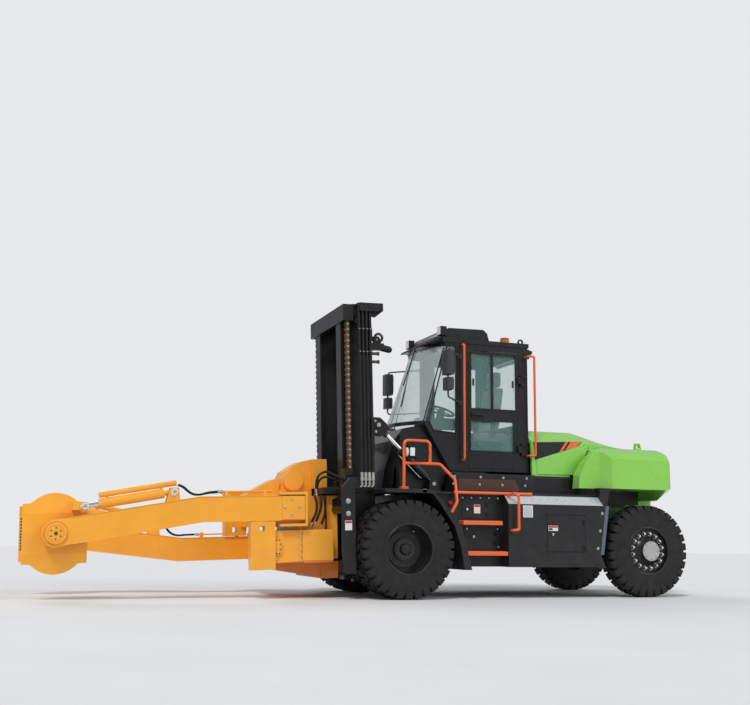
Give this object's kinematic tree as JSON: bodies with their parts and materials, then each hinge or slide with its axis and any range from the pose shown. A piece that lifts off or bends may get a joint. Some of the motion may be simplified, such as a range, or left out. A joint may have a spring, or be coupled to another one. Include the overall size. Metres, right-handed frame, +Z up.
{
  "type": "electric forklift truck with two-arm gripper",
  "caption": "Heavy four-wheel electric forklift with twin front tyres, cab, two-stage mast and a long two-arm gripper whose pads turn.",
  "frame": {"origin": "on the floor under the middle of the bounding box", "axes": "+X forward towards the gripper, +Y to the driver's left, +Z up"},
  "size_m": [8.9156, 2.56, 3.8105],
  "materials": {
    "tyre_rubber": "matte",
    "rim_black": "satin",
    "clamp_orange": "satin",
    "chrome_rod": "polished",
    "body_green": "gloss",
    "tinted_glass": "clear",
    "safety_orange": "satin",
    "seat_grey": "matte",
    "dark_plastic": "matte",
    "chain_steel": "oiled",
    "frame_black": "satin"
  },
  "bodies": {
    "chassis": {"battery_block": "frame_black", "cab_cowl": "frame_black", "cab_glass": "tinted_glass", "cab_roof": "frame_black", "cab_shell": "frame_black", "chassis_frame": "frame_black", "counterweight": "body_green", "drive_axle": "frame_black", "driver_seat": "seat_grey", "fenders": "frame_black", "handrails": "safety_orange", "hood": "body_green", "lamps": "dark_plastic", "mirrors": "dark_plastic", "platform_deck": "frame_black", "side_cabinets": "frame_black", "steer_axle": "frame_black", "steering_column": "dark_plastic", "step_lockers": "frame_black", "step_treads": "safety_orange", "tilt_brackets": "frame_black"},
    "cab_door": {"cab_door": "frame_black", "cab_door_glass": "tinted_glass"},
    "mast_outer": {"outer_mast": "frame_black", "mast_ears": "frame_black"},
    "mast_inner": {"inner_mast": "frame_black", "mast_chains": "chain_steel"},
    "carriage": {"carriage": "frame_black", "clamp_frame": "clamp_orange"},
    "front_wheel_left": {"front_tyres_left": "tyre_rubber", "front_rims_left": "rim_black"},
    "knuckle_left": {"knuckle_left": "frame_black"},
    "rear_wheel_left": {"rear_tyre_left": "tyre_rubber", "rear_rim_left": "rim_black"},
    "cabinet_door_left": {"cabinet_door_left": "frame_black"},
    "tilt_barrel_left": {"tilt_barrel_left": "frame_black"},
    "tilt_rod_left": {"tilt_rod_left": "chrome_rod"},
    "arm_left": {"arm_left": "clamp_orange"},
    "pad_left": {"pad_left": "clamp_orange"},
    "pad_barrel_left": {"pad_barrel_left": "clamp_orange"},
    "pad_rod_left": {"pad_rod_left": "chrome_rod"},
    "front_wheel_right": {"front_tyres_right": "tyre_rubber", "front_rims_right": "rim_black"},
    "knuckle_right": {"knuckle_right": "frame_black"},
    "rear_wheel_right": {"rear_tyre_right": "tyre_rubber", "rear_rim_right": "rim_black"},
    "cabinet_door_right": {"cabinet_door_right": "frame_black"},
    "tilt_barrel_right": {"tilt_barrel_right": "frame_black"},
    "tilt_rod_right": {"tilt_rod_right": "chrome_rod"},
    "arm_right": {"arm_right": "clamp_orange"},
    "pad_right": {"pad_right": "clamp_orange"},
    "pad_barrel_right": {"pad_barrel_right": "clamp_orange"},
    "pad_rod_right": {"pad_rod_right": "chrome_rod"}
  },
  "joints": [
    {"name": "front_wheel_left", "type": "hinge", "parent": "chassis", "child": "front_wheel_left", "pos_m": [-0.12778, 0.9, 0.615], "axis": [0, 1, 0], "continuous": true},
    {"name": "front_wheel_right", "type": "hinge", "parent": "chassis", "child": "front_wheel_right", "pos_m": [-0.12778, -0.9, 0.615], "axis": [0, 1, 0], "continuous": true},
    {"name": "steer_left", "type": "hinge", "parent": "chassis", "child": "knuckle_left", "pos_m": [-3.63778, 0.79, 0.615], "axis": [0, 0, 1], "range_deg": [-50, 50]},
    {"name": "rear_wheel_left", "type": "hinge", "parent": "knuckle_left", "child": "rear_wheel_left", "pos_m": [-3.63778, 1, 0.615], "axis": [0, 1, 0], "continuous": true},
    {"name": "steer_right", "type": "hinge", "parent": "chassis", "child": "knuckle_right", "pos_m": [-3.63778, -0.79, 0.615], "axis": [0, 0, 1], "range_deg": [-50, 50]},
    {"name": "rear_wheel_right", "type": "hinge", "parent": "knuckle_right", "child": "rear_wheel_right", "pos_m": [-3.63778, -1, 0.615], "axis": [0, 1, 0], "continuous": true},
    {"name": "cab_door", "type": "hinge", "parent": "chassis", "child": "cab_door", "pos_m": [-1.99178, 0.672, 2.45], "axis": [0, 0, 1], "range_deg": [0, 80]},
    {"name": "cabinet_door_left", "type": "hinge", "parent": "chassis", "child": "cabinet_door_left", "pos_m": [-2.63278, 1.2095, 0.84], "axis": [0, 0, 1], "range_deg": [0, 95]},
    {"name": "cabinet_door_right", "type": "hinge", "parent": "chassis", "child": "cabinet_door_right", "pos_m": [-2.63278, -1.2095, 0.84], "axis": [0, 0, -1], "range_deg": [0, 95]},
    {"name": "mast_tilt", "type": "hinge", "parent": "chassis", "child": "mast_outer", "pos_m": [0.10827, 0, 0.44824], "axis": [0, 1, 0], "range_deg": [-8, 4.05]},
    {"name": "mast_lift", "type": "slide", "parent": "mast_outer", "child": "mast_inner", "axis": [0.034, 0, 0.9994], "range_m": [0, 1.5]},
    {"name": "carriage_lift", "type": "slide", "parent": "mast_inner", "child": "carriage", "axis": [0.034, 0, 0.9994], "range_m": [0, 1.5]},
    {"name": "tilt_barrel_left", "type": "hinge", "parent": "chassis", "child": "tilt_barrel_left", "pos_m": [-0.68778, 0.612, 1.465], "axis": [0, 1, 0], "range_deg": [-9.77, 5.09]},
    {"name": "tilt_rod_left", "type": "slide", "parent": "tilt_barrel_left", "child": "tilt_rod_left", "axis": [0.7269, 0, 0.6868], "range_m": [-0.1822, 0.0942]},
    {"name": "tilt_barrel_right", "type": "hinge", "parent": "chassis", "child": "tilt_barrel_right", "pos_m": [-0.68778, -0.612, 1.465], "axis": [0, 1, 0], "range_deg": [-9.77, 5.09]},
    {"name": "tilt_rod_right", "type": "slide", "parent": "tilt_barrel_right", "child": "tilt_rod_right", "axis": [0.7269, 0, 0.6868], "range_m": [-0.1822, 0.0942]},
    {"name": "arm_slide_left", "type": "slide", "parent": "carriage", "child": "arm_left", "axis": [0, 1, 0], "range_m": [-0.2, 0.4]},
    {"name": "pad_turn_left", "type": "hinge", "parent": "arm_left", "child": "pad_left", "pos_m": [4.08126, 0.8, 0.76223], "axis": [0, 1, 0], "range_deg": [-5, 35]},
    {"name": "pad_barrel_left", "type": "hinge", "parent": "arm_left", "child": "pad_barrel_left", "pos_m": [2.74779, 0.8, 1.2709], "axis": [0, 1, 0], "range_deg": [-8.83, 1.52]},
    {"name": "pad_rod_left", "type": "slide", "parent": "pad_barrel_left", "child": "pad_rod_left", "axis": [0.9829, 0, -0.1842], "range_m": [-0.0339, 0.2132]},
    {"name": "arm_slide_right", "type": "slide", "parent": "carriage", "child": "arm_right", "axis": [0, -1, 0], "range_m": [-0.2, 0.4]},
    {"name": "pad_turn_right", "type": "hinge", "parent": "arm_right", "child": "pad_right", "pos_m": [4.08126, -0.8, 0.76223], "axis": [0, 1, 0], "range_deg": [-5, 35]},
    {"name": "pad_barrel_right", "type": "hinge", "parent": "arm_right", "child": "pad_barrel_right", "pos_m": [2.73428, -0.8, 0.87413], "axis": [0, 1, 0], "range_deg": [-4.52, 0.9]},
    {"name": "pad_rod_right", "type": "slide", "parent": "pad_barrel_right", "child": "pad_rod_right", "axis": [0.9811, 0, 0.1937], "range_m": [-0.0402, 0.2577]}
  ],
  "couplings": [
    {"joint": "steer_right", "follows": "steer_left", "ratio": 1},
    {"joint": "carriage_lift", "follows": "mast_lift", "ratio": 1},
    {"joint": "tilt_barrel_left", "follows": "mast_tilt", "ratio": 1.184},
    {"joint": "tilt_rod_left", "follows": "mast_tilt", "m_per_rad": 1.2763},
    {"joint": "tilt_barrel_right", "follows": "mast_tilt", "ratio": 1.184},
    {"joint": "tilt_rod_right", "follows": "mast_tilt", "m_per_rad": 1.2763},
    {"joint": "pad_barrel_left", "follows": "pad_turn_left", "ratio": -0.24375},
    {"joint": "pad_rod_left", "follows": "pad_turn_left", "m_per_rad": 0.34248},
    {"joint": "pad_barrel_right", "follows": "pad_turn_right", "ratio": -0.12047},
    {"joint": "pad_rod_right", "follows": "pad_turn_right", "m_per_rad": 0.41533}
  ]
}
